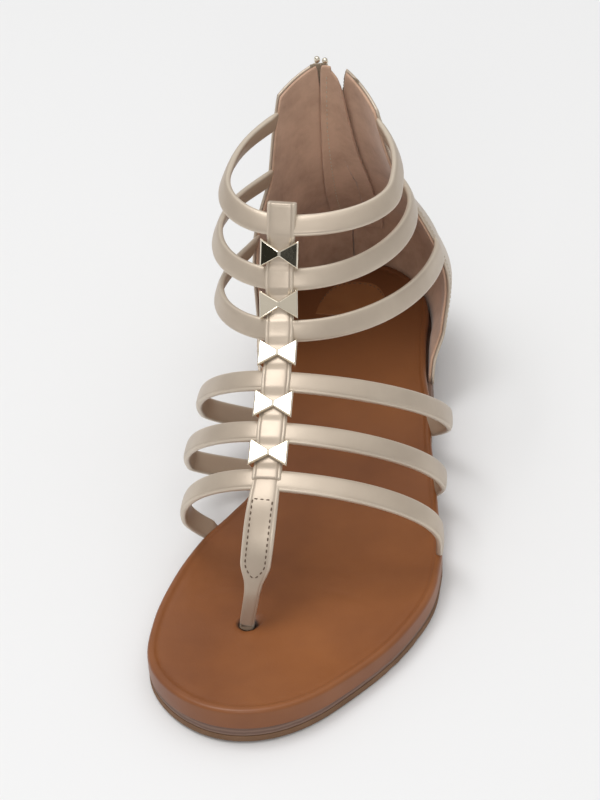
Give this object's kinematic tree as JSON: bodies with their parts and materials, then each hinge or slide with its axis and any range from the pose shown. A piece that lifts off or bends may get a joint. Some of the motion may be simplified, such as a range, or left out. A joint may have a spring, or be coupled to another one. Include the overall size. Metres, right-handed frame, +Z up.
{
  "type": "gladiator sandal",
  "caption": "Women's left gladiator sandal: ankle and vamp straps on a studded centre bar, toe post, zipped heel counter, leather footbed and low wedge sole.",
  "frame": {"origin": "middle of the bounding box, on the ground under the sole", "axes": "+Z up, heel to +Y, toe to -Y, the wearer's outer side to +X"},
  "size_m": [0.0946, 0.2452, 0.1255],
  "materials": {
    "bow_metal": "mirror polished",
    "footbed_leather": "smooth satin",
    "outsole_rubber": "matt",
    "strap_leather": "satin metallic champagne",
    "wedge_wrap": "matt, stacked grain",
    "zip_tape": "woven",
    "lining": "soft brushed",
    "zip_metal": "polished"
  },
  "bodies": {
    "sandal": {"bow_1": "bow_metal", "bow_2": "bow_metal", "bow_3": "bow_metal", "bow_4": "bow_metal", "bow_5": "bow_metal", "footbed": "footbed_leather", "outsole": "outsole_rubber", "upper": "strap_leather", "wedge": "wedge_wrap", "zip": "zip_tape", "zip_guard": "lining", "zip_slider": "zip_metal"},
    "pull": {"zip_pull": "zip_metal"}
  },
  "joints": [
    {"name": "zip_pull_hinge", "type": "hinge", "parent": "sandal", "child": "pull", "pos_m": [-0.0068, 0.0977, 0.1044], "axis": [1, 0, 0], "range_deg": [0, 150]}
  ]
}
